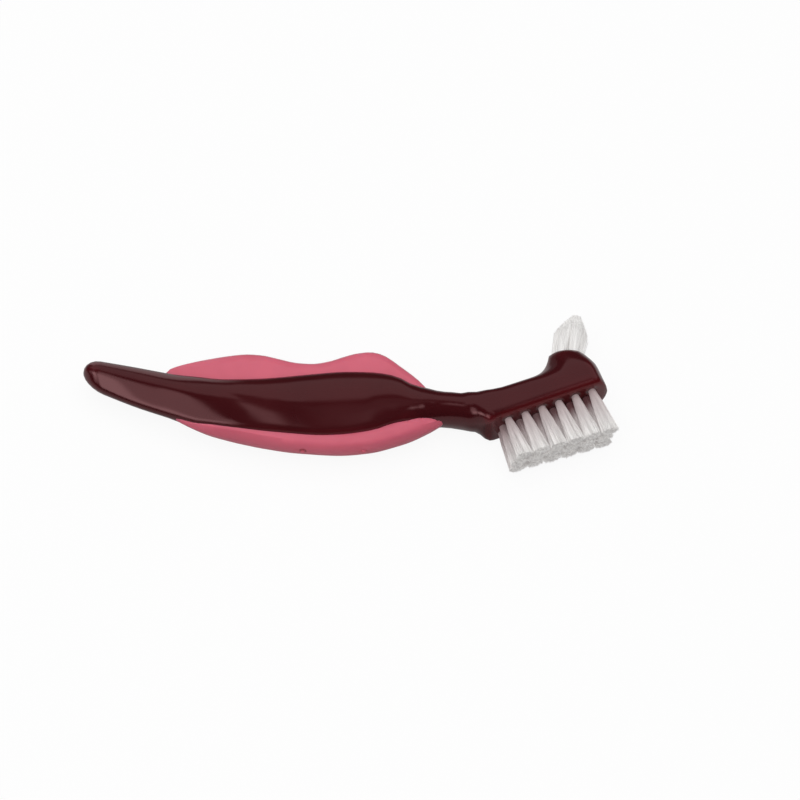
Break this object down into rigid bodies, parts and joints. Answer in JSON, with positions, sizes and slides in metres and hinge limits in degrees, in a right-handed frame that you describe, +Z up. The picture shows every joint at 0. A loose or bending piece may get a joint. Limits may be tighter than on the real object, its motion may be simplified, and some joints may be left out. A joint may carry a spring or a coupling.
{
  "type": "denture brush",
  "caption": "Denture brush lying on its side: glossy maroon handle with a pink soft grip, a flat head with rows of white tufts and a small pointed brush on a boss behind it.",
  "frame": {"origin": "under the middle of the brush head, on its lower flat side", "axes": "+X along the handle to the head, +Y the way the small pointed brush faces, +Z up from the side it lies on"},
  "size_m": [0.1544, 0.0481, 0.015],
  "materials": {
    "handle": "gloss",
    "grip": "satin",
    "bristles": "satin",
    "anchors": "satin"
  },
  "bodies": {
    "root": {"handle": "handle", "soft_grip": "grip", "tuft_1": "bristles", "tuft_2": "bristles", "tuft_3": "bristles", "tuft_4": "bristles", "tuft_5": "bristles", "tuft_6": "bristles", "tuft_7": "bristles", "tuft_8": "bristles", "tuft_9": "bristles", "tuft_10": "bristles", "tuft_11": "bristles", "tuft_12": "bristles", "tuft_13": "bristles", "tuft_14": "bristles", "tuft_15": "bristles", "tuft_16": "bristles", "tuft_17": "bristles", "tuft_18": "bristles", "anchor_1": "anchors", "anchor_2": "anchors", "anchor_3": "anchors", "anchor_4": "anchors", "anchor_5": "anchors", "anchor_6": "anchors", "anchor_7": "anchors", "anchor_8": "anchors", "anchor_9": "anchors", "anchor_10": "anchors", "anchor_11": "anchors", "anchor_12": "anchors", "anchor_13": "anchors", "anchor_14": "anchors", "anchor_15": "anchors", "anchor_16": "anchors", "anchor_17": "anchors", "anchor_18": "anchors", "point_tuft_1": "bristles", "point_tuft_2": "bristles", "point_tuft_3": "bristles", "point_tuft_4": "bristles", "point_tuft_5": "bristles", "point_tuft_6": "bristles", "point_tuft_7": "bristles", "point_anchor_1": "anchors", "point_anchor_2": "anchors", "point_anchor_3": "anchors", "point_anchor_4": "anchors", "point_anchor_5": "anchors", "point_anchor_6": "anchors", "point_anchor_7": "anchors"}
  },
  "joints": []
}
